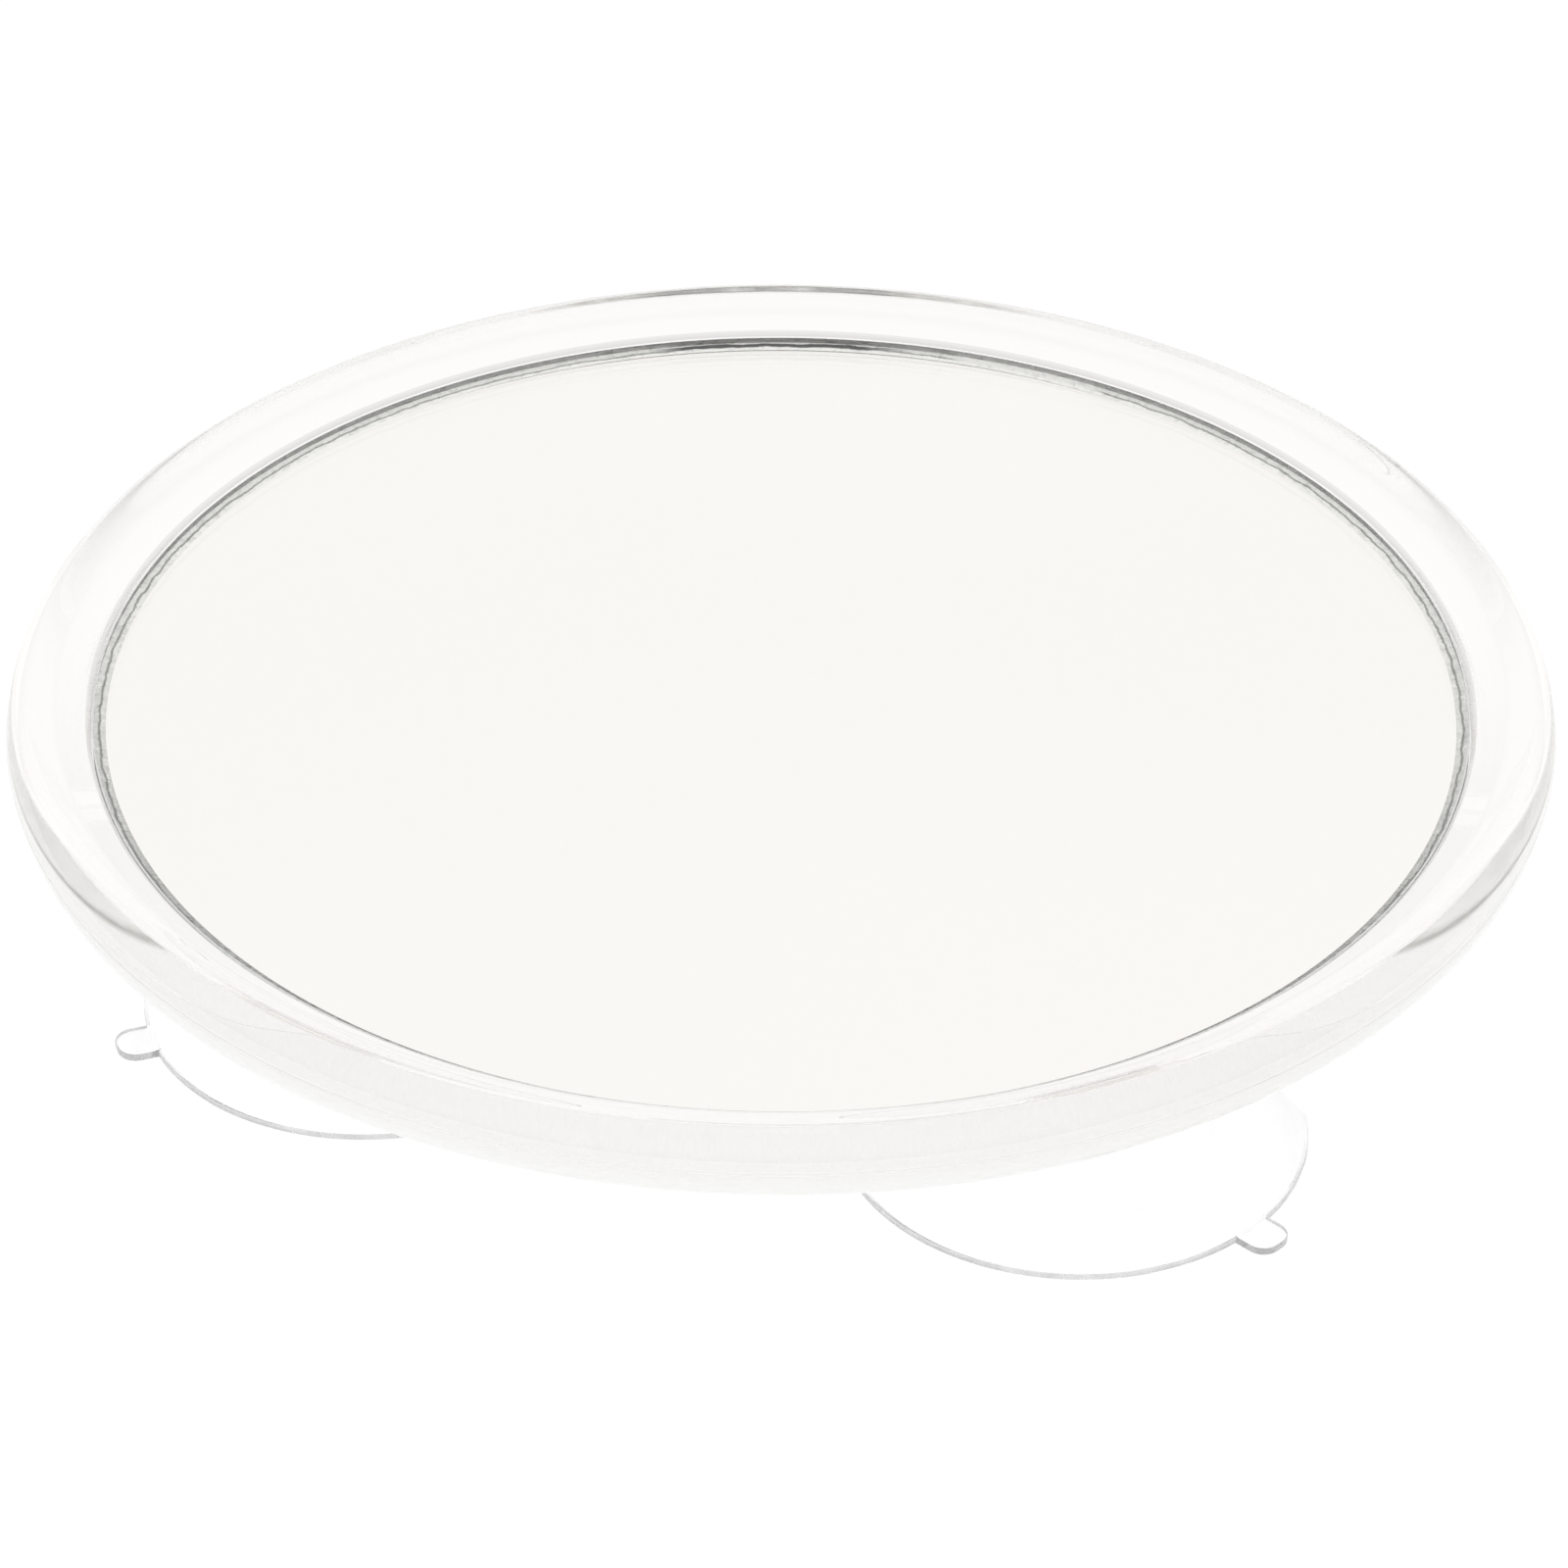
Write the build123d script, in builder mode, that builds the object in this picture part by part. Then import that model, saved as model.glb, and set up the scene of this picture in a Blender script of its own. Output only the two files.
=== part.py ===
"""Round mirror in a clear acrylic dish frame, lying on three soft clear suction cups.

The frame is one clear moulding: a thick rounded rim, a thin floor, and three short wells that hang
under the floor. Each suction cup's mushroom head is pushed up through a hole in its well's bottom
wall, so the cup hangs captive and swivels. A disc of foam tape closes the wells from above and holds
the mirror: silvered glass with a ground seam round its back edge.

Millimetres. +Z is up, z = 0 is the surface that the cups stand on, and the rim's axis is the Z axis.
"""

import os
from math import acos, cos, degrees, radians, sin

from build123d import *

# Frame
outer_radius = 76.0
rim_edge_radius = 4.27
rim_slope_angle = 38.0
crest_radius = 2.5
lip_setback = 0.3
lip_bevel_width = 0.45
lip_bevel_height = 0.5
floor_thickness = 2.0

# Mirror
glass_thickness = 2.0
glass_side_clearance = 0.15
glass_arris = 0.15
seam_width = 1.3
seam_height = 0.3
silvering_thickness = 0.08
foam_thickness = 1.0
foam_setback = 0.3

# Suction cups
cup_radius = 22.9
lip_thickness = 0.65
lip_seat_width = 0.8
cavity_depth = 5.6
dome_height = 9.4
dome_bulge = 1.1
hub_radius = 5.8
hub_fillet = 2.4
shoulder_height = 13.9
neck_radius = 3.4
head_radius = 4.8
head_height = 3.6
head_rounding = 1.4
tab_width = 4.4
tab_reach = 3.5
tab_thickness = 0.75
tab_corner_radius = 1.8

# Wells that hold the cups
cup_pitch_radius = 41.7
well_wall = 1.8
well_bottom_wall = 1.6
well_drop = 11.85
well_rounding = 0.6
head_side_clearance = 0.5
neck_running_clearance = 0.08
axial_clearance = 0.1

# Where each cup stands round the Z axis, and where its pull tab points
cup_angles = {"left": -166.9, "right": -46.9, "rear": 73.1}
tab_angles = {"left": -160.5, "right": -43.5, "rear": 66.0}

# Heights that follow from the sizes above
well_bottom = shoulder_height + axial_clearance
well_inside_bottom = well_bottom + well_bottom_wall
head_bottom = well_inside_bottom + axial_clearance
frame_bottom = well_bottom + well_drop
floor_top = frame_bottom + floor_thickness
silvering_bottom = floor_top + foam_thickness
glass_bottom = silvering_bottom + silvering_thickness
glass_top = glass_bottom + glass_thickness

# Radii that follow from the sizes above
rim_centre_radius = outer_radius - rim_edge_radius
rim_centre_height = frame_bottom + rim_edge_radius
lip_radius = outer_radius - 2 * rim_edge_radius + lip_setback
slope_start_radius = lip_radius + lip_bevel_width
slope_start_height = glass_top + lip_bevel_height
glass_radius = lip_radius - glass_side_clearance
silvering_radius = glass_radius - seam_width
foam_radius = silvering_radius - foam_setback
well_inside_radius = head_radius + head_side_clearance
well_outside_radius = well_inside_radius + well_wall
neck_hole_radius = neck_radius + neck_running_clearance

os.makedirs("parts", exist_ok=True)


def polar_point(radius, angle):
    """The point at a radius from the Z axis and an angle from +X, in degrees."""
    return (radius * cos(radians(angle)), radius * sin(radians(angle)))


def rim_crest_angle():
    """Where the straight inner slope, which starts at the lip's bevel, leaves the rim's round edge."""
    slope_normal = 90 + rim_slope_angle
    across = (slope_start_radius - rim_centre_radius) * cos(radians(slope_normal))
    up = (slope_start_height - rim_centre_height) * sin(radians(slope_normal))
    return slope_normal - degrees(acos((across + up) / rim_edge_radius))


# ---------------------------------------------------------------------------------------------
# Clear frame: rim, floor and three wells in one moulding
# ---------------------------------------------------------------------------------------------
well_places = [polar_point(cup_pitch_radius, angle) for angle in cup_angles.values()]

with BuildPart() as clear_frame:
    with BuildSketch(Plane.XZ) as frame_section:
        with BuildLine():
            bottom = Line((0, frame_bottom), (rim_centre_radius, frame_bottom))
            edge = CenterArc(
                (rim_centre_radius, rim_centre_height), rim_edge_radius, -90, 90 + rim_crest_angle()
            )
            slope = Line(edge @ 1, (slope_start_radius, slope_start_height))
            lip_bevel = Line(slope @ 1, (lip_radius, glass_top))
            recess_wall = Line(lip_bevel @ 1, (lip_radius, floor_top))
            floor = Line(recess_wall @ 1, (0, floor_top))
            Line(floor @ 1, bottom @ 0)
        make_face()
        fillet(frame_section.vertices().sort_by(Axis.Y)[-1], radius=crest_radius)
    revolve(axis=Axis.Z)
    with BuildSketch(Plane.XY.offset(well_bottom)):
        with Locations(well_places):
            Circle(well_outside_radius)
    extrude(amount=well_drop + floor_thickness / 2)
    well_rims = clear_frame.edges().filter_by(GeomType.CIRCLE).group_by(Axis.Z)[0]
    fillet(well_rims, radius=well_rounding)
    with BuildSketch(Plane.XY.offset(well_inside_bottom)):
        with Locations(well_places):
            Circle(well_inside_radius)
    extrude(amount=floor_top - well_inside_bottom, mode=Mode.SUBTRACT)
    with BuildSketch(Plane.XY.offset(well_bottom)):
        with Locations(well_places):
            Circle(neck_hole_radius)
    extrude(amount=well_bottom_wall, mode=Mode.SUBTRACT)

clear_frame.part.label = "clear_frame"
export_step(clear_frame.part, "parts/clear_frame.step")

# ---------------------------------------------------------------------------------------------
# Mirror glass: a polished disc, with a ground seam round its back edge
# ---------------------------------------------------------------------------------------------
with BuildPart() as mirror_glass:
    with BuildSketch(Plane.XZ):
        with BuildLine():
            Polyline(
                (0, glass_bottom),
                (silvering_radius, glass_bottom),
                (glass_radius, glass_bottom + seam_height),
                (glass_radius, glass_top - glass_arris),
                (glass_radius - glass_arris, glass_top),
                (0, glass_top),
                close=True,
            )
        make_face()
    revolve(axis=Axis.Z)

mirror_glass.part.label = "mirror_glass"
export_step(mirror_glass.part, "parts/mirror_glass.step")

# ---------------------------------------------------------------------------------------------
# Silvering: the silver coat and its backing paint, on the flat of the glass's back
# ---------------------------------------------------------------------------------------------
with BuildPart() as mirror_silvering:
    with BuildSketch(Plane.XY.offset(silvering_bottom)):
        Circle(silvering_radius)
    extrude(amount=silvering_thickness)

mirror_silvering.part.label = "mirror_silvering"
export_step(mirror_silvering.part, "parts/mirror_silvering.step")

# ---------------------------------------------------------------------------------------------
# Foam tape: one disc between the frame's floor and the mirror's back
# ---------------------------------------------------------------------------------------------
with BuildPart() as foam_tape:
    with BuildSketch(Plane.XY.offset(floor_top)):
        Circle(foam_radius)
    extrude(amount=foam_thickness)

foam_tape.part.label = "foam_tape"
export_step(foam_tape.part, "parts/foam_tape.step")

# ---------------------------------------------------------------------------------------------
# Suction cups: lip, dome, hub, neck and mushroom head, with a pull tab on the lip
# ---------------------------------------------------------------------------------------------
cavity_edge_radius = cup_radius - lip_seat_width
dome_middle = ((cup_radius + hub_radius) / 2, (lip_thickness + dome_height) / 2 + dome_bulge)

for name, cup_angle in cup_angles.items():
    cup_x, cup_y = polar_point(cup_pitch_radius, cup_angle)
    cup_side = Plane(origin=(cup_x, cup_y, 0), x_dir=(1, 0, 0), z_dir=(0, -1, 0))
    tab_plane = Plane(origin=(cup_x, cup_y, 0)).rotated((0, 0, tab_angles[name]))

    with BuildPart() as suction_cup:
        with BuildSketch(cup_side) as cup_section:
            with BuildLine():
                seat = Line((cavity_edge_radius, 0), (cup_radius, 0))
                lip_edge = Line(seat @ 1, (cup_radius, lip_thickness))
                dome = ThreePointArc(lip_edge @ 1, dome_middle, (hub_radius, dome_height))
                hub = Line(dome @ 1, (hub_radius, shoulder_height))
                shoulder = Line(hub @ 1, (neck_radius, shoulder_height))
                neck = Line(shoulder @ 1, (neck_radius, head_bottom))
                head_underside = Line(neck @ 1, (head_radius, head_bottom))
                head_side = Line(head_underside @ 1, (head_radius, head_bottom + head_height))
                head_top = Line(head_side @ 1, (0, head_bottom + head_height))
                middle = Line(head_top @ 1, (0, cavity_depth))
                TangentArc(middle @ 1, seat @ 0, tangent=(1, 0))
            make_face()
            hub_root = cup_section.vertices().sort_by_distance((hub_radius, dome_height))[0]
            fillet(hub_root, radius=hub_fillet)
            head_rim = cup_section.vertices().sort_by_distance((head_radius, head_bottom + head_height))[0]
            fillet(head_rim, radius=head_rounding)
        revolve(axis=Axis((cup_x, cup_y, 0), (0, 0, 1)))
        with BuildSketch(tab_plane):
            with Locations((cup_radius + tab_reach / 2 - lip_seat_width / 2, 0)):
                Rectangle(tab_reach + lip_seat_width, tab_width)
        extrude(amount=tab_thickness)
        tab_tip_edges = suction_cup.edges().filter_by(Axis.Z).filter_by(
            lambda edge: abs(edge.length - tab_thickness) < 0.01
        )
        fillet(tab_tip_edges, radius=tab_corner_radius)

    node = "suction_cup_" + name
    suction_cup.part.label = node
    export_step(suction_cup.part, "parts/" + node + ".step")
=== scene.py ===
"""Looks of a round mirror in a clear acrylic dish frame, lying on three clear suction cups."""

import math

import bpy
import numpy as np
from mathutils import Matrix, Vector
from mathutils.geometry import delaunay_2d_cdt


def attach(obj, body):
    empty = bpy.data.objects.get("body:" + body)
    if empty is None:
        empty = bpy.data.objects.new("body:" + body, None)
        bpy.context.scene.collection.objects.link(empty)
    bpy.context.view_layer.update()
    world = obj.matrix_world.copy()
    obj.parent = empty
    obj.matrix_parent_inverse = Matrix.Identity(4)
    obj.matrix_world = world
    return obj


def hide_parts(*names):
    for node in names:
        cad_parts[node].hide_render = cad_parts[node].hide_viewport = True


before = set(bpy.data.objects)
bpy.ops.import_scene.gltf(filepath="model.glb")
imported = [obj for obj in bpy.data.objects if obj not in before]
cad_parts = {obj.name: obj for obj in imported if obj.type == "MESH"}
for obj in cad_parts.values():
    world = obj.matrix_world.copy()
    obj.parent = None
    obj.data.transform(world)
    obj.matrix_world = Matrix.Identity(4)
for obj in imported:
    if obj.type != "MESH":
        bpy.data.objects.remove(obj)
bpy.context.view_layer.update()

# ---------------------------------------------------------------------------------------------
# Sizes in millimetres, as in the CAD model
# ---------------------------------------------------------------------------------------------
MM = 0.001

# Frame
OUTER_RADIUS = 76.0
RIM_EDGE_RADIUS = 4.27
RIM_SLOPE_ANGLE = 38.0
CREST_RADIUS = 2.5
LIP_SETBACK = 0.3
LIP_BEVEL_WIDTH = 0.45
LIP_BEVEL_HEIGHT = 0.5
FLOOR_THICKNESS = 2.0

# Mirror
GLASS_THICKNESS = 2.0
GLASS_SIDE_CLEARANCE = 0.15
GLASS_ARRIS = 0.15
SEAM_WIDTH = 1.3
SEAM_HEIGHT = 0.3
SILVERING_THICKNESS = 0.08
FOAM_THICKNESS = 1.0
FOAM_SETBACK = 0.3

# Suction cups
CUP_RADIUS = 22.9
LIP_THICKNESS = 0.65
LIP_SEAT_WIDTH = 0.8
CAVITY_DEPTH = 5.6
DOME_HEIGHT = 9.4
DOME_BULGE = 1.1
HUB_RADIUS = 5.8
HUB_FILLET = 2.4
SHOULDER_HEIGHT = 13.9
NECK_RADIUS = 3.4
HEAD_RADIUS = 4.8
HEAD_HEIGHT = 3.6
HEAD_ROUNDING = 1.4
TAB_WIDTH = 4.4
TAB_REACH = 3.5
TAB_THICKNESS = 0.75
TAB_CORNER = 1.8

# Wells that hold the cups
CUP_PITCH_RADIUS = 41.7
WELL_WALL = 1.8
WELL_BOTTOM_WALL = 1.6
WELL_DROP = 11.85
WELL_ROUNDING = 0.6
HEAD_SIDE_CLEARANCE = 0.5
NECK_RUNNING_CLEARANCE = 0.08
AXIAL_CLEARANCE = 0.1

# Heights that follow from the sizes above
WELL_BOTTOM = SHOULDER_HEIGHT + AXIAL_CLEARANCE
HEAD_BOTTOM = WELL_BOTTOM + WELL_BOTTOM_WALL + AXIAL_CLEARANCE
FRAME_BOTTOM = WELL_BOTTOM + WELL_DROP
FLOOR_TOP = FRAME_BOTTOM + FLOOR_THICKNESS
SILVERING_BOTTOM = FLOOR_TOP + FOAM_THICKNESS
GLASS_BOTTOM = SILVERING_BOTTOM + SILVERING_THICKNESS
GLASS_TOP = GLASS_BOTTOM + GLASS_THICKNESS

# Radii that follow from the sizes above
FACET_MARGIN = 0.03
RIM_CENTRE_RADIUS = OUTER_RADIUS - FACET_MARGIN - RIM_EDGE_RADIUS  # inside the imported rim's facets
LIP_RADIUS = OUTER_RADIUS - 2 * RIM_EDGE_RADIUS + LIP_SETBACK
GLASS_RADIUS = LIP_RADIUS - GLASS_SIDE_CLEARANCE
SILVER_RADIUS = GLASS_RADIUS - SEAM_WIDTH
FOAM_RADIUS = SILVER_RADIUS - FOAM_SETBACK
NECK_HOLE_RADIUS = NECK_RADIUS + NECK_RUNNING_CLEARANCE
WELL_INSIDE_RADIUS = HEAD_RADIUS + HEAD_SIDE_CLEARANCE
WELL_OUTSIDE_RADIUS = WELL_INSIDE_RADIUS + WELL_WALL

# Where each cup stands round the Z axis, and where its pull tab points
CUP_ANGLES = {"left": -166.9, "right": -46.9, "rear": 73.1}
TAB_ANGLES = {"left": -160.5, "right": -43.5, "rear": 66.0}


def polar(radius, angle):
    """The point at a radius from the Z axis and an angle from +X, in degrees."""
    return radius * math.cos(math.radians(angle)), radius * math.sin(math.radians(angle))


CUP_CENTRES = {name: polar(CUP_PITCH_RADIUS, angle) for name, angle in CUP_ANGLES.items()}

# ---------------------------------------------------------------------------------------------
# Sections: lists of (radius, height, normal radius, normal height)
# ---------------------------------------------------------------------------------------------


def run(start, end, normal, steps=1):
    """A straight run of a section."""
    return [
        (start[0] + (end[0] - start[0]) * k / steps, start[1] + (end[1] - start[1]) * k / steps, *normal)
        for k in range(steps + 1)
    ]


def bend(centre, radius, start, end, step=3.0, hollow=False):
    """A round run of a section, between two angles in degrees. A hollow one faces its own centre."""
    steps = max(2, math.ceil(abs(end - start) / step))
    side = -1 if hollow else 1
    points = []
    for k in range(steps + 1):
        a = math.radians(start + (end - start) * k / steps)
        points.append(
            (
                centre[0] + radius * math.cos(a),
                centre[1] + radius * math.sin(a),
                side * math.cos(a),
                side * math.sin(a),
            )
        )
    return points


# ---------------------------------------------------------------------------------------------
# Patches: points, exact normals, faces and a material slot, welded into one closed mesh
# ---------------------------------------------------------------------------------------------


def spun(section, segments, centre=(0.0, 0.0), slot=0):
    """A section turned round an upright axis."""
    rows = np.array(section, float)
    turn = np.linspace(0, 2 * math.pi, segments, endpoint=False)
    c, s = np.cos(turn)[:, None], np.sin(turn)[:, None]
    points = np.stack(
        [centre[0] + rows[None, :, 0] * c, centre[1] + rows[None, :, 0] * s, rows[None, :, 1] + 0 * c], 2
    )
    normals = np.stack([rows[None, :, 2] * c, rows[None, :, 2] * s, rows[None, :, 3] + 0 * c], 2)
    return grid(points, normals, slot)


def grid(points, normals, slot=0):
    """A grid of points that closes on itself along its first direction."""
    n, m = points.shape[:2]
    i, j = np.meshgrid(np.arange(n), np.arange(m - 1), indexing="ij")
    i, j = i.ravel(), j.ravel()
    k = (i + 1) % n
    faces = np.stack([i * m + j, k * m + j, k * m + j + 1, i * m + j + 1], 1)
    return points.reshape(-1, 3), normals.reshape(-1, 3), faces, slot


def measured_normals(points, outward):
    """Normals of a closed grid, from its own slopes. They point the way that outward does."""
    along = np.roll(points, -1, 0) - np.roll(points, 1, 0)
    across = np.gradient(points, axis=1)
    normals = np.cross(along, across)
    length = np.linalg.norm(normals, axis=2, keepdims=True)
    normals = normals / np.maximum(length, 1e-12)
    flip = np.sign((normals * outward).sum((0, 1, 2)))
    return normals * (flip if flip else 1)


def circle(centre, radius, segments):
    """A ring of points in plan."""
    turn = np.linspace(0, 2 * math.pi, segments, endpoint=False)
    return np.stack([centre[0] + radius * np.cos(turn), centre[1] + radius * np.sin(turn)], 1)


def plate(height, facing, rim, holes, slot=0):
    """A flat face inside a rim of points, with holes in it."""
    loops = [rim, *holes]
    points = np.concatenate(loops)
    edges, start = [], 0
    for loop in loops:
        n = len(loop)
        edges += [(start + k, start + (k + 1) % n) for k in range(n)]
        start += n
    found = delaunay_2d_cdt([Vector(p) for p in points], edges, [], 0, 1e-7)
    source = [origin[0] for origin in found[3]]
    faces = []
    for face in found[2]:
        middle = points[[source[v] for v in face]].mean(0)
        in_hole = [np.hypot(*(middle - h.mean(0))) < np.hypot(*(h[0] - h.mean(0))) for h in holes]
        if not any(in_hole):
            faces.append([source[v] for v in face])
    flat = np.concatenate([points, np.full((len(points), 1), height)], 1)
    return flat, np.tile([0.0, 0.0, facing], (len(points), 1)), np.array(faces), slot


def weld(name, patches, body, materials, stands_for=()):
    """One mesh object from patches, in place and riding on its body."""
    points = np.concatenate([p[0] for p in patches])
    normals = np.concatenate([p[1] for p in patches])
    key = np.round(points * 1e4).astype(np.int64) + 2**20
    key = (key[:, 0] << 42) + (key[:, 1] << 21) + key[:, 2]
    _, first, same = np.unique(key, return_index=True, return_inverse=True)
    faces, slots, start = [], [], 0
    for patch_points, _, patch_faces, slot in patches:
        found = patch_faces + start
        start += len(patch_points)
        p = points[found]
        turned = np.cross(p[:, 2] - p[:, 0], p[:, -1] - p[:, 1])
        backward = (turned * normals[found].sum(1)).sum(1) < 0
        found[backward] = found[backward][:, ::-1]
        joined = same[found] == np.roll(same[found], 1, 1)
        for face, merged in zip(found.tolist(), joined):
            if merged.any():
                face = [v for v, gone in zip(face, merged) if not gone]
            if len(face) > 2:
                faces.append(face)
                slots.append(slot)
    flat = np.array([v for face in faces for v in face])
    corners = normals[flat]
    mesh = bpy.data.meshes.new(name)
    welded = same.tolist()
    mesh.from_pydata((points[first] * MM).tolist(), [], [[welded[v] for v in face] for face in faces])
    mesh.polygons.foreach_set("material_index", slots)
    mesh.polygons.foreach_set("use_smooth", [True] * len(faces))
    mesh.update()
    mesh.normals_split_custom_set(corners.tolist())
    piece = bpy.data.objects.new(name, mesh)
    bpy.context.scene.collection.objects.link(piece)
    for m in materials:
        mesh.materials.append(m)
    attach(piece, body)
    if stands_for:
        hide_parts(*stands_for)
    return piece


# ---------------------------------------------------------------------------------------------
# Materials
# ---------------------------------------------------------------------------------------------


class Nodes:
    """A short way to write a material's node tree."""

    def __init__(self, name):
        self.material = bpy.data.materials.new(name)
        self.material.use_nodes = True
        self.tree = self.material.node_tree
        self.tree.nodes.clear()
        self.output = self.add("ShaderNodeOutputMaterial")
        self.shader = self.add("ShaderNodeBsdfPrincipled")
        self.link(self.shader.outputs["BSDF"], self.output.inputs["Surface"])
        self.place = self.add("ShaderNodeTexCoord").outputs["Object"]

    def add(self, kind, **settings):
        node = self.tree.nodes.new(kind)
        for key, value in settings.items():
            setattr(node, key, value)
        return node

    def link(self, a, b):
        self.tree.links.new(a, b)

    def put(self, **values):
        for key, value in values.items():
            self.shader.inputs[key.replace("_", " ")].default_value = value

    def noise(self, scale, detail=3.0, rough=0.5, stretch=(1, 1, 1)):
        mapping = self.add("ShaderNodeMapping")
        mapping.inputs["Scale"].default_value = stretch
        self.link(self.place, mapping.inputs["Vector"])
        node = self.add("ShaderNodeTexNoise")
        node.inputs["Scale"].default_value = scale
        node.inputs["Detail"].default_value = detail
        node.inputs["Roughness"].default_value = rough
        self.link(mapping.outputs["Vector"], node.inputs["Vector"])
        return node.outputs["Fac"]

    def part_of_place(self, axis):
        split = self.add("ShaderNodeSeparateXYZ")
        self.link(self.place, split.inputs["Vector"])
        return split.outputs[axis]

    def math(self, operation, *values):
        node = self.add("ShaderNodeMath", operation=operation)
        for socket, value in zip(node.inputs, values):
            if isinstance(value, (int, float)):
                socket.default_value = value
            else:
                self.link(value, socket)
        return node.outputs[0]

    def radius(self):
        """The distance from the Z axis, in metres."""
        x, y = self.part_of_place("X"), self.part_of_place("Y")
        return self.math("SQRT", self.math("ADD", self.math("MULTIPLY", x, x), self.math("MULTIPLY", y, y)))

    def span(self, value, low, high):
        """Maps low to 0 and high to 1."""
        node = self.add("ShaderNodeMapRange")
        node.inputs["From Min"].default_value = low
        node.inputs["From Max"].default_value = high
        self.link(value, node.inputs["Value"])
        return node.outputs["Result"]

    def cells(self, scale):
        node = self.add("ShaderNodeTexVoronoi")
        node.inputs["Scale"].default_value = scale
        self.link(self.place, node.inputs["Vector"])
        return node.outputs["Distance"]

    def ramp(self, factor, *stops):
        node = self.add("ShaderNodeValToRGB")
        elements = node.color_ramp.elements
        while len(elements) < len(stops):
            elements.new(0.5)
        for element, (position, colour) in zip(elements, stops):
            element.position = position
            element.color = (*colour, 1) if isinstance(colour, tuple) else (colour, colour, colour, 1)
        self.link(factor, node.inputs["Fac"])
        return node.outputs["Color"]

    def bump(self, height, strength, distance):
        node = self.add("ShaderNodeBump")
        node.inputs["Strength"].default_value = strength
        node.inputs["Distance"].default_value = distance
        self.link(height, node.inputs["Height"])
        return node.outputs["Normal"]

    def mix(self, factor, a, b, kind="MIX"):
        node = self.add("ShaderNodeMix", data_type="RGBA", blend_type=kind)
        if isinstance(factor, float):
            node.inputs[0].default_value = factor
        else:
            self.link(factor, node.inputs[0])
        for socket, value in ((node.inputs[6], a), (node.inputs[7], b)):
            if isinstance(value, tuple):
                socket.default_value = (*value, 1)
            else:
                self.link(value, socket)
        return node.outputs[2]


def clear_acrylic():
    """Polished acrylic with faint moulding waves, smudges and a few tiny dark inclusions, and painted
    shade: a darker lip bevel and a slightly darker ring on the underside under the mirror's edge.
    """
    n = Nodes("clear_acrylic")
    n.put(IOR=1.49, Transmission_Weight=1.0)
    specks = n.ramp(n.cells(420), (0.0, (0.35, 0.34, 0.32)), (0.018, (0.950, 0.938, 0.926)))
    # Painted shade on the lip's bevel: darkest near the glass and lighter towards its top. beyond keeps it
    # off the slope above.
    beyond = n.ramp(n.span(n.radius(), 0.0682, 0.0683), (0.1, 0.0), (0.9, 1.0))
    bevel = n.ramp(
        n.span(n.part_of_place("Z"), 0.0308, 0.0315), (0.05, 1.0), (0.13, 0.52), (0.85, 0.76), (0.95, 1.0)
    )
    lip = n.mix(1.0, beyond, bevel, "LIGHTEN")
    # Painted shade: a ring on the underside, under the mirror's edge, is made a little darker, for the
    # shade under the frame seen through the rim.
    under = n.ramp(n.span(n.part_of_place("Z"), 0.0259, 0.0260), (0.0, 0.0), (1.0, 1.0))
    around = n.ramp(n.span(n.radius(), 0.0590, 0.0690), (0.0, 1.0), (0.3, 0.965), (0.8, 0.965), (0.95, 1.0))
    painted_underside_shade = n.mix(1.0, under, around, "LIGHTEN")
    # The painted shade of the lip's bevel and of the underside together.
    painted_shade = n.mix(1.0, lip, painted_underside_shade, "MULTIPLY")
    n.link(n.mix(1.0, specks, painted_shade, "MULTIPLY"), n.shader.inputs["Base Color"])
    n.link(n.ramp(n.noise(60, 4), (0.5, 0.0), (0.85, 0.01)), n.shader.inputs["Roughness"])
    waves = n.bump(n.noise(45, 2), 0.04, 0.00002)
    n.link(waves, n.shader.inputs["Normal"])
    return n.material


def cut_acrylic():
    """The recess's wall, left matt by the mould, with fine rings round it."""
    n = Nodes("matt_acrylic")
    n.put(IOR=1.49, Transmission_Weight=1.0)
    cloudy = n.ramp(n.noise(500, 4), (0.3, (0.94, 0.93, 0.92)), (0.7, (0.97, 0.965, 0.96)))
    n.link(cloudy, n.shader.inputs["Base Color"])
    n.link(n.ramp(n.noise(350, 4), (0.3, 0.30), (0.7, 0.50)), n.shader.inputs["Roughness"])
    n.link(n.bump(n.noise(900, 3, 0.6, (0.1, 0.1, 4)), 0.3, 0.00003), n.shader.inputs["Normal"])
    return n.material


def mirror_face():
    """The polished face and inside of the glass."""
    n = Nodes("mirror_glass")
    n.put(IOR=1.52, Transmission_Weight=1.0)
    dust = n.ramp(n.cells(260), (0.0, (0.35, 0.34, 0.33)), (0.012, (0.995, 0.998, 0.995)))
    n.link(dust, n.shader.inputs["Base Color"])
    n.link(n.ramp(n.noise(25, 3), (0.5, 0.0), (0.85, 0.015)), n.shader.inputs["Roughness"])
    return n.material


def silver_coat():
    """The silver behind the glass, with faint differences in tone."""
    n = Nodes("silver")
    n.put(Metallic=1.0)
    tone = n.ramp(n.noise(9, 2), (0.3, (0.955, 0.945, 0.93)), (0.8, (0.965, 0.957, 0.945)))
    n.link(tone, n.shader.inputs["Base Color"])
    n.link(n.ramp(n.noise(40, 2), (0.4, 0.0), (0.9, 0.012)), n.shader.inputs["Roughness"])
    return n.material


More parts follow.
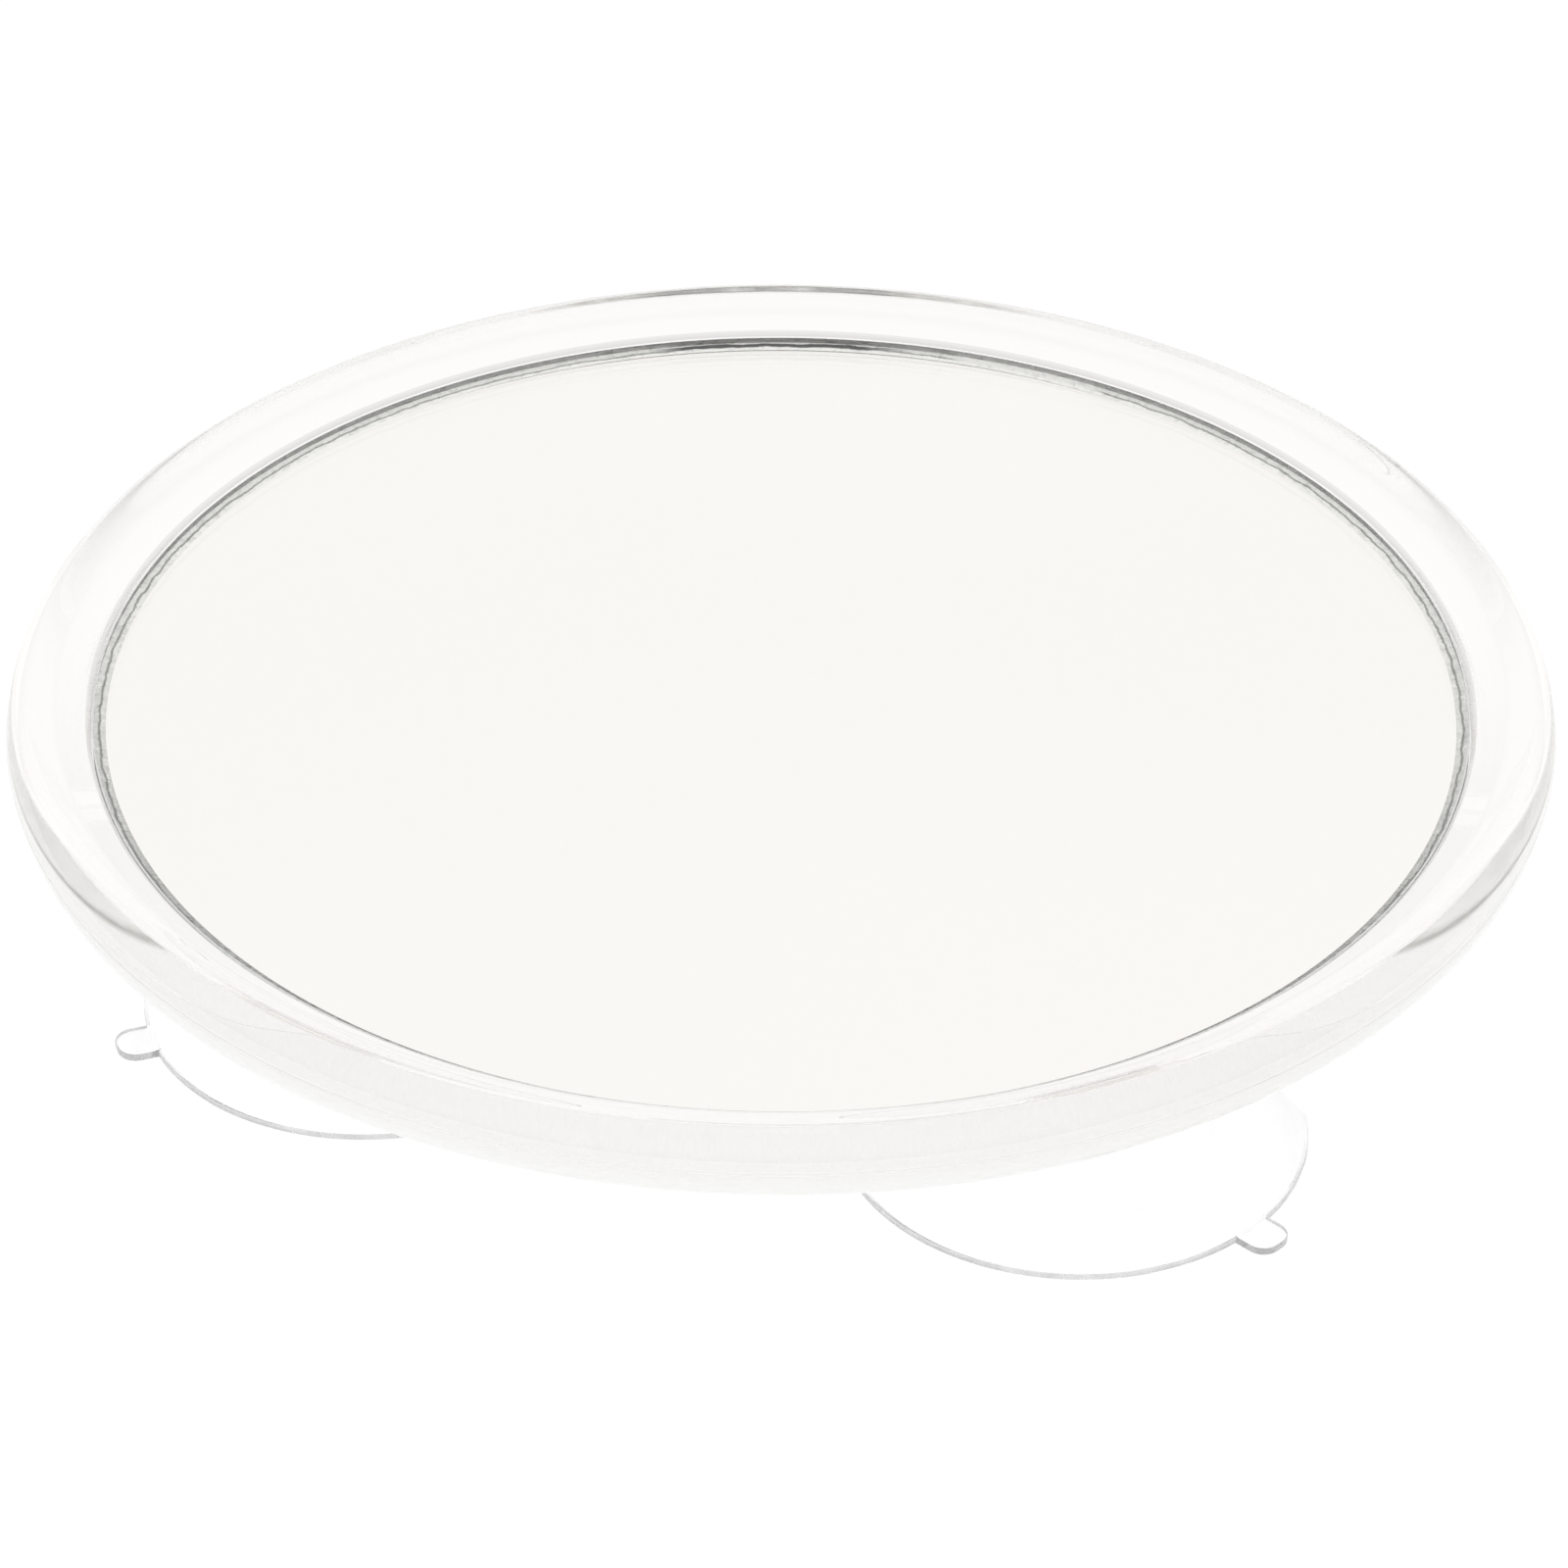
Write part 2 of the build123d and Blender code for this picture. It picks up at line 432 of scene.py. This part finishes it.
def ground_glass():
    """The ground seam and the cut wall, with grey overspray and dark backing paint that ran over them."""
    n = Nodes("ground_glass")
    n.put(IOR=1.52)
    wander = n.math("MULTIPLY", n.math("SUBTRACT", n.noise(300, 3, 0.6, (1, 1, 0)), 0.5), 0.0009)
    along = n.math("ADD", n.part_of_place("X"), n.math("MULTIPLY", wander, 2.0))
    bare = n.ramp(n.span(along, 0.018, 0.034), (0.0, 1.0), (0.08, 0.1), (0.92, 0.1), (1.0, 1.0))
    behind = n.ramp(n.span(n.part_of_place("Y"), 0.0, 0.01), (0.0, 0.0), (1.0, 1.0))
    spill = n.ramp(n.span(along, -0.0150, 0.0145), (0.0, 0.0), (0.15, 1.0), (0.80, 1.0), (1.0, 0.0))
    run_over = n.math("MULTIPLY", spill, behind)
    on_wall = n.ramp(n.span(n.part_of_place("Z"), 0.02918, 0.02926), (0.0, 0.0), (1.0, 1.0))
    overspray = n.ramp(n.noise(90, 3, 0.6, (1, 1, 0)), (0.42, 0.25), (0.55, 0.08))
    wall_paint = n.math("MAXIMUM", n.math("MULTIPLY", run_over, 0.30), overspray)
    reach = n.math("ADD", n.radius(), wander)
    across_seam = n.span(reach, 0.0663, 0.0676)
    line = n.ramp(across_seam, (0.34, 0.0), (0.44, 0.65), (0.52, 0.65), (0.62, 0.08), (0.9, 0.08))
    wide = n.ramp(across_seam, (0.40, 0.0), (0.50, 1.0), (0.85, 1.0), (0.92, 0.2))
    seam_paint = n.math("MAXIMUM", line, n.math("MULTIPLY", run_over, wide))
    cover = n.math("MULTIPLY", n.mix(on_wall, seam_paint, wall_paint), bare)
    clear = n.ramp(n.noise(1400, 4, 0.7), (0.36, (0.55, 0.56, 0.53)), (0.5, (0.84, 0.86, 0.82)))
    n.link(n.mix(cover, clear, (0.03, 0.035, 0.03)), n.shader.inputs["Base Color"])
    n.link(n.math("SUBTRACT", 1.0, cover), n.shader.inputs["Transmission Weight"])
    n.link(n.ramp(n.noise(900, 3), (0.3, 0.2), (0.7, 0.5)), n.shader.inputs["Roughness"])
    n.link(n.bump(n.noise(2200, 4, 0.7), 0.5, 0.00005), n.shader.inputs["Normal"])
    return n.material


def frosted_arris():
    """The fine ground arris round the face of the glass, white with grinding marks."""
    n = Nodes("ground_arris")
    n.put(IOR=1.52, Transmission_Weight=0.25)
    marks = n.ramp(n.noise(1600, 4, 0.7), (0.3, (0.72, 0.74, 0.72)), (0.5, (0.97, 0.98, 0.97)))
    n.link(marks, n.shader.inputs["Base Color"])
    n.link(n.ramp(n.noise(700, 3), (0.3, 0.35), (0.7, 0.6)), n.shader.inputs["Roughness"])
    n.link(n.bump(n.noise(3000, 3, 0.6), 0.4, 0.00003), n.shader.inputs["Normal"])
    return n.material


def backing_paint():
    """Pale paint on the silver's back, finely pitted."""
    n = Nodes("backing_paint")
    tone = n.ramp(n.noise(160, 5, 0.65), (0.3, (0.84, 0.84, 0.83)), (0.7, (0.88, 0.88, 0.875)))
    n.link(tone, n.shader.inputs["Base Color"])
    n.link(n.ramp(n.noise(300, 3), (0.3, 0.42), (0.7, 0.62)), n.shader.inputs["Roughness"])
    n.link(n.bump(n.noise(900, 4, 0.6), 0.35, 0.00004), n.shader.inputs["Normal"])
    return n.material


def foam():
    """White foam with open cells."""
    n = Nodes("foam_tape")
    open_cells = n.cells(2600)
    white = n.ramp(open_cells, (0.05, (0.988, 0.993, 0.998)), (0.5, (0.992, 0.996, 0.999)))
    n.link(white, n.shader.inputs["Base Color"])
    n.link(n.ramp(n.noise(800, 3), (0.3, 0.75), (0.7, 0.95)), n.shader.inputs["Roughness"])
    n.link(n.bump(open_cells, 0.3, 0.0001), n.shader.inputs["Normal"])
    return n.material


def shaded_pvc_edge():
    """The trimmed edge of a cup's lip, with painted shade: its colour is greyer than the rest, to stand in
    for the dark line the edge shows in the light.
    """
    n = Nodes("pvc_edge_painted_shade")
    n.put(IOR=1.53, Transmission_Weight=0.45)
    # Painted shade: a grey base colour for the dark line round the lip's edge.
    edge_shade = n.ramp(n.noise(420, 3), (0.3, (0.62, 0.62, 0.63)), (0.7, (0.80, 0.80, 0.81)))
    n.link(edge_shade, n.shader.inputs["Base Color"])
    n.link(n.ramp(n.noise(600, 3), (0.3, 0.15), (0.7, 0.35)), n.shader.inputs["Roughness"])
    n.link(n.bump(n.noise(1100, 3), 0.3, 0.00003), n.shader.inputs["Normal"])
    return n.material


def clear_pvc():
    """Soft clear PVC: glossy, faintly cloudy, with a moulded ripple and a little clinging dust."""
    n = Nodes("clear_pvc")
    n.put(IOR=1.53, Transmission_Weight=1.0)
    dust = n.ramp(n.cells(900), (0.0, (0.6, 0.6, 0.58)), (0.02, (0.984, 0.984, 0.987)))
    n.link(dust, n.shader.inputs["Base Color"])
    n.link(n.ramp(n.noise(120, 4), (0.35, 0.02), (0.75, 0.09)), n.shader.inputs["Roughness"])
    n.link(n.bump(n.noise(260, 3), 0.25, 0.00003), n.shader.inputs["Normal"])
    return n.material


ACRYLIC = clear_acrylic()
FROSTED_ACRYLIC = cut_acrylic()
GLASS = mirror_face()
SILVER = silver_coat()
GROUND = ground_glass()
ARRIS = frosted_arris()
PAINT = backing_paint()
FOAM = foam()
PVC = clear_pvc()
PVC_EDGE_SHADE = shaded_pvc_edge()

# ---------------------------------------------------------------------------------------------
# Clear frame
# ---------------------------------------------------------------------------------------------
RING_SEGMENTS = 512
WELL_SEGMENTS = 96
RECESS_FILLET = 0.35
PARTING_LINE_ANGLE = 2.5
PARTING_LINE_HALF_ANGLE = 0.55
PARTING_LINE_HEIGHT = 0.025
PARTING_BLEND_ANGLE = 30


def parting(points, centre, radius):
    """The fine raised line where the mould's halves met, round the rim's outer edge."""
    shaped = []
    for r, z, nr, nz in points:
        angle = math.degrees(math.atan2(z - centre[1], r - centre[0]))
        away = (angle - PARTING_LINE_ANGLE) / PARTING_LINE_HALF_ANGLE
        ridge = math.exp(-away * away)
        blend = PARTING_LINE_HEIGHT * math.exp(-((angle / PARTING_BLEND_ANGLE) ** 2))
        lower = blend * (1 - ridge)
        slope = -blend * ridge * (2 * away / PARTING_LINE_HALF_ANGLE) / (radius * math.radians(1))
        n = np.array([nr, nz]) - slope * np.array([-nz, nr])
        n /= np.linalg.norm(n)
        shaped.append((r - lower * nr, z - lower * nz, n[0], n[1]))
    return shaped


def frame_patches():
    """Rim, lip, recess, floor and wells. Slot 1 is the matt recess wall."""
    centre = (RIM_CENTRE_RADIUS, FRAME_BOTTOM + RIM_EDGE_RADIUS)
    slope = math.radians(RIM_SLOPE_ANGLE)
    along = np.array([math.cos(slope), math.sin(slope)])
    facing = np.array([-math.sin(slope), math.cos(slope)])
    lip = np.array([LIP_RADIUS, GLASS_TOP])
    start = lip + np.array([LIP_BEVEL_WIDTH, LIP_BEVEL_HEIGHT])
    # The crest's fillet touches the slope and the round edge from inside.
    base = start - CREST_RADIUS * facing - np.array(centre)
    b = base @ along
    c = base @ base - (RIM_EDGE_RADIUS - CREST_RADIUS) ** 2
    crest = start - CREST_RADIUS * facing + (-b + math.sqrt(b * b - c)) * along
    out = crest - np.array(centre)
    edge_end = math.degrees(math.atan2(out[1], out[0]))
    slope_top = crest + CREST_RADIUS * facing
    edge = bend(centre, RIM_EDGE_RADIUS, -90, -6, 2.5)
    line_part = bend(centre, RIM_EDGE_RADIUS, -6, 10, 0.2)
    upper = bend(centre, RIM_EDGE_RADIUS, 10, edge_end, 2.5)
    top = bend(tuple(crest), CREST_RADIUS, edge_end, 90 + RIM_SLOPE_ANGLE, 2.5)
    bevel = np.array([-LIP_BEVEL_HEIGHT, LIP_BEVEL_WIDTH]) / math.hypot(LIP_BEVEL_WIDTH, LIP_BEVEL_HEIGHT)
    inner = run(tuple(slope_top), tuple(start), tuple(facing), 6)
    lip_face = run(tuple(start), tuple(lip), tuple(bevel), 2)
    wall = run((LIP_RADIUS, GLASS_TOP), (LIP_RADIUS, FLOOR_TOP + RECESS_FILLET), (-1, 0), 4)
    root = bend(
        (LIP_RADIUS - RECESS_FILLET, FLOOR_TOP + RECESS_FILLET), RECESS_FILLET, 0, -90, 10, hollow=True
    )
    patches = [
        spun(parting(edge, centre, RIM_EDGE_RADIUS), RING_SEGMENTS),
        spun(parting(line_part, centre, RIM_EDGE_RADIUS), RING_SEGMENTS),
        spun(parting(upper, centre, RIM_EDGE_RADIUS), RING_SEGMENTS),
        spun(top, RING_SEGMENTS),
        spun(inner, RING_SEGMENTS),
        spun(lip_face, RING_SEGMENTS),
        spun(wall, RING_SEGMENTS, slot=1),
        spun(root, RING_SEGMENTS, slot=1),
    ]
    low = parting(edge, centre, RIM_EDGE_RADIUS)[0]
    holes_below = [circle(c_, WELL_OUTSIDE_RADIUS, WELL_SEGMENTS) for c_ in CUP_CENTRES.values()]
    holes_above = [circle(c_, WELL_INSIDE_RADIUS, WELL_SEGMENTS) for c_ in CUP_CENTRES.values()]
    patches.append(plate(low[1], -1.0, circle((0, 0), low[0], RING_SEGMENTS), holes_below))
    floor_rim = circle((0, 0), LIP_RADIUS - RECESS_FILLET, RING_SEGMENTS)
    patches.append(plate(FLOOR_TOP, 1.0, floor_rim, holes_above))
    inside_bottom = WELL_BOTTOM + WELL_BOTTOM_WALL
    round_radius = WELL_OUTSIDE_RADIUS - WELL_ROUNDING
    round_height = WELL_BOTTOM + WELL_ROUNDING
    for place in CUP_CENTRES.values():
        sections = [
            run((NECK_HOLE_RADIUS, WELL_BOTTOM), (round_radius, WELL_BOTTOM), (0, -1), 2),
            bend((round_radius, round_height), WELL_ROUNDING, -90, 0, 8),
            run((WELL_OUTSIDE_RADIUS, round_height), (WELL_OUTSIDE_RADIUS, low[1]), (1, 0), 8),
            run((NECK_HOLE_RADIUS, WELL_BOTTOM), (NECK_HOLE_RADIUS, inside_bottom), (-1, 0), 2),
            run((NECK_HOLE_RADIUS, inside_bottom), (WELL_INSIDE_RADIUS, inside_bottom), (0, 1), 2),
            run((WELL_INSIDE_RADIUS, inside_bottom), (WELL_INSIDE_RADIUS, FLOOR_TOP), (-1, 0), 8),
        ]
        patches += [spun(s, WELL_SEGMENTS, place) for s in sections]
    return patches


weld(
    "clear_frame_moulding",
    frame_patches(),
    "mirror",
    [ACRYLIC, FROSTED_ACRYLIC],
    ["clear_frame"],
)

# ---------------------------------------------------------------------------------------------
# Mirror glass and its silvering
# ---------------------------------------------------------------------------------------------
COAT_GAP = 0.01


def glass_patches():
    """Slots: 0 polished face, 1 silver seen through the glass, 2 ground seam and wall, 3 ground arris."""
    seam = np.array([SEAM_WIDTH, SEAM_HEIGHT])
    seam_facing = (seam[1] / np.hypot(*seam), -seam[0] / np.hypot(*seam))
    corner = math.sqrt(0.5)
    seam_top = (GLASS_RADIUS, GLASS_BOTTOM + SEAM_HEIGHT)
    arris_bottom = (GLASS_RADIUS, GLASS_TOP - GLASS_ARRIS)
    arris_top = (GLASS_RADIUS - GLASS_ARRIS, GLASS_TOP)
    n = RING_SEGMENTS
    return [
        spun(run((0, GLASS_BOTTOM), (SILVER_RADIUS, GLASS_BOTTOM), (0, -1), 40), n, slot=1),
        spun(run((SILVER_RADIUS, GLASS_BOTTOM), seam_top, seam_facing, 5), n, slot=2),
        spun(run(seam_top, arris_bottom, (1, 0), 4), n, slot=2),
        spun(run(arris_bottom, arris_top, (corner, corner), 2), n, slot=3),
        spun(run(arris_top, (0, GLASS_TOP), (0, 1), 40), n),
    ]


weld(
    "mirror_glass_disc",
    glass_patches(),
    "mirror",
    [GLASS, SILVER, GROUND, ARRIS],
    ["mirror_glass"],
)


def silvering_patches():
    """Slots: 0 backing paint, 1 silver."""
    top, low = GLASS_BOTTOM - COAT_GAP, SILVERING_BOTTOM
    n = RING_SEGMENTS
    return [
        spun(run((0, top), (SILVER_RADIUS, top), (0, 1), 30), n, slot=1),
        spun(run((SILVER_RADIUS, top), (SILVER_RADIUS, low), (1, 0), 1), n),
        spun(run((SILVER_RADIUS, low), (0, low), (0, -1), 30), n),
    ]


weld(
    "silver_coat_and_paint",
    silvering_patches(),
    "mirror",
    [PAINT, SILVER],
    ["mirror_silvering"],
)

# ---------------------------------------------------------------------------------------------
# Foam tape
# ---------------------------------------------------------------------------------------------
FOAM_BULGE = 0.12
FOAM_GRIP = 0.01
FOAM_ROWS = 8


def foam_patches():
    """The disc, with its side drawn in a little at top and bottom."""
    low, high = FLOOR_TOP - FOAM_GRIP, SILVERING_BOTTOM
    rows = []
    for k in range(FOAM_ROWS + 1):
        height = low + (high - low) * k / FOAM_ROWS
        rows.append((FOAM_RADIUS - FOAM_BULGE * (1 - math.sin(math.pi * k / FOAM_ROWS)), height, 1, 0))
    return [
        spun(rows, RING_SEGMENTS),
        spun(run((0, low), (rows[0][0], low), (0, -1), 30), RING_SEGMENTS),
        spun(run((0, high), (rows[-1][0], high), (0, 1), 30), RING_SEGMENTS),
    ]


weld("foam_tape", foam_patches(), "mirror", [FOAM], ["foam_tape"])

# ---------------------------------------------------------------------------------------------
# Suction cups
# ---------------------------------------------------------------------------------------------
LIP_EDGE_ROUNDING = 0.12
DOME_JOIN = 21.6
TAB_BLEND = 0.12
TAB_RAMP = 0.35
HUB_EDGE_ROUNDING = 0.25


def smooth_step(x):
    """0 below 0, 1 above 1 and smooth between them."""
    x = np.clip(x, 0, 1)
    return x * x * (3 - 2 * x)


def round_through(a, b, c):
    """Centre and radius of the circle through three points."""
    a, b, c = map(np.array, (a, b, c))
    m = 2 * np.array([b - a, c - a])
    centre = np.linalg.solve(m, [b @ b - a @ a, c @ c - a @ a])
    return centre, np.linalg.norm(a - centre)


def tab_outline(turn):
    """How far the lip reaches at an angle from the tab's middle, in radians."""
    half, tip = TAB_WIDTH / 2, CUP_RADIUS + TAB_REACH
    corner = np.array([tip - TAB_CORNER, half - TAB_CORNER])
    reach = CUP_RADIUS
    t = abs(turn)
    if t < math.radians(30):
        d = np.array([math.cos(t), math.sin(t)])
        side = half / max(d[1], 1e-9)
        if side * d[0] <= corner[0]:
            reach = side
        elif d[1] * tip / d[0] <= corner[1]:
            reach = tip / d[0]
        else:
            along = corner @ d
            reach = along + math.sqrt(along**2 - corner @ corner + TAB_CORNER**2)
    joined = 0.5 * (CUP_RADIUS + reach + math.sqrt((reach - CUP_RADIUS) ** 2 + TAB_BLEND**2))
    return joined - TAB_BLEND / 2 * math.exp(-max(reach - CUP_RADIUS, 0))


def cup_patches(place, tab_angle):
    """Lip with its tab, dome, hub, neck, head and cavity. Slot 1 is the lip's trimmed edge, which carries
    painted shade.
    """
    middle = ((CUP_RADIUS + HUB_RADIUS) / 2, (LIP_THICKNESS + DOME_HEIGHT) / 2 + DOME_BULGE)
    dome, dome_radius = round_through((CUP_RADIUS, LIP_THICKNESS), middle, (HUB_RADIUS, DOME_HEIGHT))

    def dome_height(r):
        """Height of the dome at a radius."""
        return dome[1] + np.sqrt(np.maximum(dome_radius**2 - (r - dome[0]) ** 2, 0))

    steps = [
        np.arange(-180, -14, 2.0),
        np.arange(-14, -6.4, 0.8),
        np.arange(-6.4, -5.6, 0.2),
        np.arange(-5.6, -4.6, 0.04),
        np.arange(-4.6, 0, 0.23),
    ]
    half = np.concatenate(steps)
    turn = np.radians(np.concatenate([half, [0], -half[:0:-1]]))
    reach = np.array([tab_outline(t) for t in turn])
    is_tab = smooth_step((reach - CUP_RADIUS) / TAB_RAMP)
    angle = turn + math.radians(tab_angle)
    c, s = np.cos(angle), np.sin(angle)

    def top_height(r):
        """Height of the lip's and the tab's top, for every angle."""
        base = dome_height(np.minimum(r, CUP_RADIUS))
        joined = 0.5 * (base + TAB_THICKNESS + np.sqrt((base - TAB_THICKNESS) ** 2 + TAB_BLEND**2))
        return (1 - is_tab) * base + is_tab * joined

    edge_top = top_height(reach)
    slope = math.degrees(math.asin((CUP_RADIUS - dome[0]) / dome_radius))
    turned = np.radians(90 - slope * (1 - is_tab))
    rho = LIP_EDGE_ROUNDING
    arc_z = edge_top - rho * np.tan(turned / 2)

    def placed(rows, outward, slot=0):
        """Rows of (radius, height) for every angle, as a grid."""
        r = np.stack([row[0] + 0 * turn for row in rows], 1)
        z = np.stack([row[1] + 0 * turn for row in rows], 1)
        points = np.stack([place[0] + r * c[:, None], place[1] + r * s[:, None], z], 2)
        nr, nz = outward
        guide = np.stack([nr * c[:, None] + 0 * r, nr * s[:, None] + 0 * r, nz + 0 * r], 2)
        return grid(points, measured_normals(points, guide), slot)

    seat_in = CUP_RADIUS - LIP_SEAT_WIDTH
    seat = [(seat_in + (reach - rho - seat_in) * k / 5, 0.0) for k in range(6)]
    low = [
        (reach - rho + rho * math.sin(math.radians(a)), rho - rho * math.cos(math.radians(a)))
        for a in (0, 22.5, 45, 67.5, 90)
    ]
    wall = [(reach, rho + (arc_z - rho) * k / 3) for k in range(4)]
    high = [
        (reach - rho + rho * np.cos(turned * k / 4), arc_z + rho * np.sin(turned * k / 4))
        for k in range(5)
    ]
    start = high[-1][0]
    top = []
    for k in range(15):
        r = start + (DOME_JOIN - start) * (k / 14)
        top.append((r, top_height(r) if k else high[-1][1]))
    patches = [
        placed(seat, (0, -1)),
        placed(low + wall[1:] + high[1:], (1, 0.2), 1),
        placed(top, (0.3, 1)),
    ]

    hub_z = dome[1] + math.sqrt((dome_radius + HUB_FILLET) ** 2 - (HUB_RADIUS + HUB_FILLET - dome[0]) ** 2)
    hub_centre = np.array([HUB_RADIUS + HUB_FILLET, hub_z])
    meet = dome + (hub_centre - dome) * dome_radius / (dome_radius + HUB_FILLET)
    first = math.degrees(math.atan2(dome_height(DOME_JOIN) - dome[1], DOME_JOIN - dome[0]))
    last = math.degrees(math.atan2(meet[1] - dome[1], meet[0] - dome[0]))
    meet_from_hub = math.degrees(math.atan2(meet[1] - hub_z, meet[0] - hub_centre[0])) % 360
    edge = HUB_EDGE_ROUNDING
    head_top = HEAD_BOTTOM + HEAD_HEIGHT
    cavity_radius = (seat_in**2 + CAVITY_DEPTH**2) / (2 * CAVITY_DEPTH)
    cavity_centre = (0.0, CAVITY_DEPTH - cavity_radius)
    cavity_end = math.degrees(math.atan2(-cavity_centre[1], seat_in))
    sections = [
        bend(tuple(dome), dome_radius, first, last, 1.2),
        bend(tuple(hub_centre), HUB_FILLET, meet_from_hub, 180, 5, hollow=True),
        run((HUB_RADIUS, hub_z), (HUB_RADIUS, SHOULDER_HEIGHT - edge), (1, 0), 4),
        bend((HUB_RADIUS - edge, SHOULDER_HEIGHT - edge), edge, 0, 90, 18),
        run((HUB_RADIUS - edge, SHOULDER_HEIGHT), (NECK_RADIUS, SHOULDER_HEIGHT), (0, 1), 2),
        run((NECK_RADIUS, SHOULDER_HEIGHT), (NECK_RADIUS, HEAD_BOTTOM), (1, 0), 4),
        run((NECK_RADIUS, HEAD_BOTTOM), (HEAD_RADIUS, HEAD_BOTTOM), (0, -1), 2),
        run((HEAD_RADIUS, HEAD_BOTTOM), (HEAD_RADIUS, head_top - HEAD_ROUNDING), (1, 0), 3),
        bend((HEAD_RADIUS - HEAD_ROUNDING, head_top - HEAD_ROUNDING), HEAD_ROUNDING, 0, 90, 6),
        run((HEAD_RADIUS - HEAD_ROUNDING, head_top), (0, head_top), (0, 1), 4),
        bend(cavity_centre, cavity_radius, cavity_end, 90, 1.2, hollow=True),
    ]
    for section in sections:
        r, z, nr, nz = np.array(section, float).T[:, None, :]
        x, y = place[0] + r * c[:, None], place[1] + r * s[:, None]
        points = np.stack([x, y, z + 0 * x], 2)
        normals = np.stack([nr * c[:, None], nr * s[:, None], nz + 0 * x], 2)
        patches.append(grid(points, normals))
    return patches


for name, place in CUP_CENTRES.items():
    weld(
        f"clear_cup_{name}",
        cup_patches(place, TAB_ANGLES[name]),
        f"cup_{name}",
        [PVC, PVC_EDGE_SHADE],
        [f"suction_cup_{name}"],
    )

# ---------------------------------------------------------------------------------------------
# Floor, light and camera
# ---------------------------------------------------------------------------------------------
FLOOR_GAP = 0.02
FLOOR_SIDE = 4.0


def white_floor():
    """A pale floor just under the cups, which glows evenly so that it stays white."""
    mesh = bpy.data.meshes.new("floor")
    side, z = FLOOR_SIDE, -FLOOR_GAP * MM
    corners = [(-side, -side, z), (side, -side, z), (side, side, z), (-side, side, z)]
    mesh.from_pydata(corners, [], [(0, 1, 2, 3)])
    floor = bpy.data.objects.new("floor", mesh)
    bpy.context.scene.collection.objects.link(floor)
    n = Nodes("white_floor")
    n.put(Roughness=0.8, Emission_Color=(1, 1, 1, 1), Emission_Strength=0.96)
    n.link(n.ramp(n.noise(3, 2), (0.3, 0.05), (0.7, 0.055)), n.shader.inputs["Base Color"])
    mesh.materials.append(n.material)


def white_room():
    """Soft white light from all round, a little warmer overhead and greyer near the horizon."""
    world = bpy.data.worlds.new("white_room")
    bpy.context.scene.world = world
    world.use_nodes = True
    tree = world.node_tree
    tree.nodes.clear()
    out = tree.nodes.new("ShaderNodeOutputWorld")
    back = tree.nodes.new("ShaderNodeBackground")
    place = tree.nodes.new("ShaderNodeTexCoord")
    split = tree.nodes.new("ShaderNodeSeparateXYZ")
    ramp = tree.nodes.new("ShaderNodeValToRGB")
    e = ramp.color_ramp.elements
    e[0].position, e[0].color = 0.0, (0.65, 0.65, 0.65, 1)
    e[1].position, e[1].color = 0.40, (1.0, 0.99, 0.975, 1)
    tree.links.new(place.outputs["Generated"], split.inputs[0])
    tree.links.new(split.outputs["Z"], ramp.inputs["Fac"])
    tree.links.new(ramp.outputs["Color"], back.inputs["Color"])
    tree.links.new(back.outputs["Background"], out.inputs["Surface"])
    back.inputs["Strength"].default_value = 1.0


white_floor()
white_room()

VIEW_ELEVATION = 34.14
VIEW_DISTANCE = 643.6
VIEW_HEIGHT = 30.05
VIEW_ROLL = 0.23
VIEW_DOWN = 0.74774
VIEW_RIGHT = 0.02407
SENSOR_WIDTH = 36.0
FOCAL_LENGTH = 149.985

centre = Vector((0, 0, VIEW_HEIGHT)) * MM
tilt = math.radians(VIEW_ELEVATION)
lens = bpy.data.cameras.new("camera")
lens.sensor_width = SENSOR_WIDTH
lens.lens = FOCAL_LENGTH
lens.clip_start, lens.clip_end = 0.01, 50.0
camera = bpy.data.objects.new("camera", lens)
bpy.context.scene.collection.objects.link(camera)
camera.location = centre + Vector((0, -math.cos(tilt), math.sin(tilt))) * VIEW_DISTANCE * MM
look = (centre - camera.location).to_track_quat("-Z", "Y").to_matrix().to_4x4()
turn = (
    Matrix.Rotation(math.radians(VIEW_ROLL), 4, "Z")
    @ Matrix.Rotation(-math.radians(VIEW_DOWN), 4, "X")
    @ Matrix.Rotation(-math.radians(VIEW_RIGHT), 4, "Y")
)
camera.rotation_mode = "QUATERNION"
camera.rotation_quaternion = (look @ turn).to_quaternion()

scene = bpy.context.scene
scene.camera = camera

# Clear pieces need many bounces, and Filter Glossy would darken what is seen through the rim.
scene.view_settings.view_transform = "Standard"
scene.cycles.max_bounces = 24
scene.cycles.transmission_bounces = 24
scene.cycles.glossy_bounces = 16
scene.cycles.diffuse_bounces = 12
scene.cycles.blur_glossy = 0.0
scene.cycles.transparent_max_bounces = 16
scene.cycles.caustics_reflective = True
scene.cycles.caustics_refractive = True
